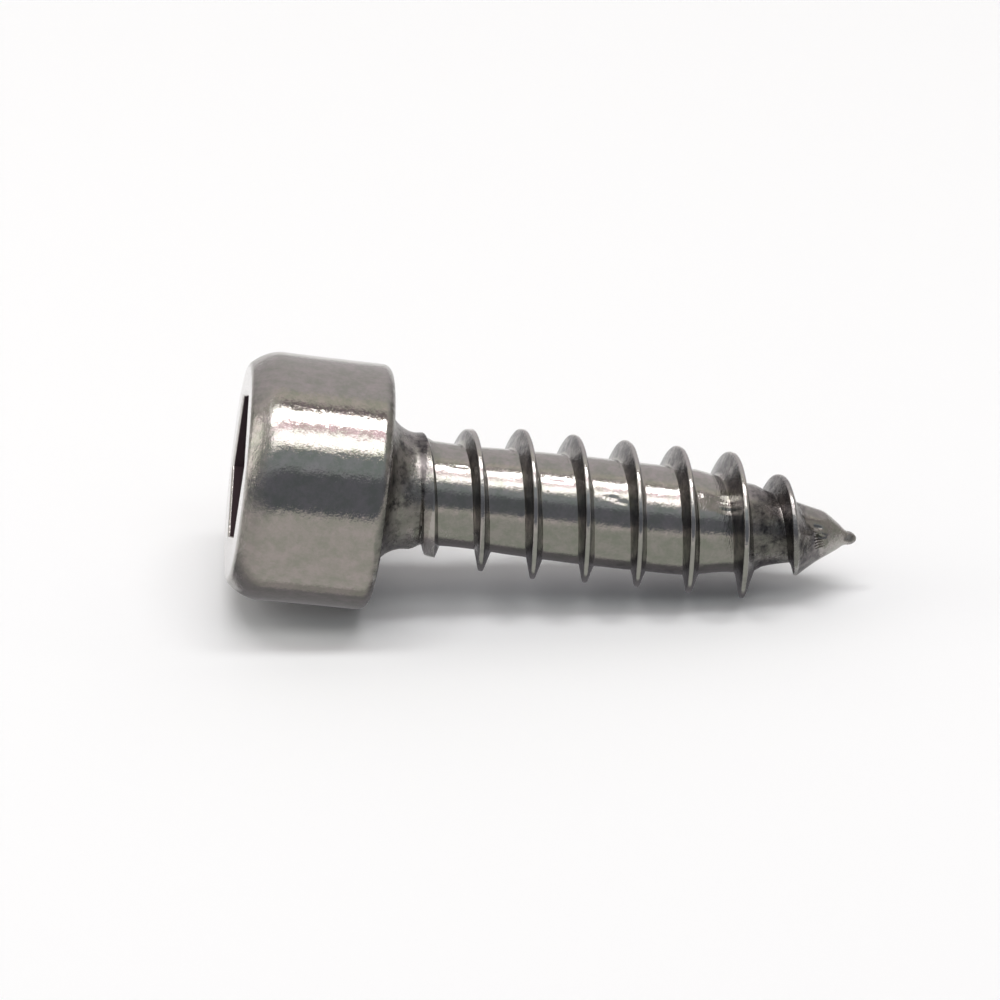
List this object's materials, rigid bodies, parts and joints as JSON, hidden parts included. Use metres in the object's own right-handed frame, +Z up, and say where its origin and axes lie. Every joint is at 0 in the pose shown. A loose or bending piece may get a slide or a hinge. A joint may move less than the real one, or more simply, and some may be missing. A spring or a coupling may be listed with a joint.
{
  "type": "socket head self-tapping screw",
  "caption": "Self-tapping screw with a tall cylinder head, a hexagon socket, a coarse right-hand spaced thread and a tapered, pointed tip.",
  "frame": {"origin": "middle of the screw's outline on the surface it lies on", "axes": "+X along the lying screw from its head to its point, +Z up, so the screw's own axis dips from the head down towards the point by about 7.5 degrees"},
  "size_m": [0.018, 0.007, 0.0073],
  "materials": {
    "stainless_steel": "tumbled bright stainless steel"
  },
  "bodies": {
    "root": {"socket_head_screw": "stainless_steel"}
  },
  "joints": []
}
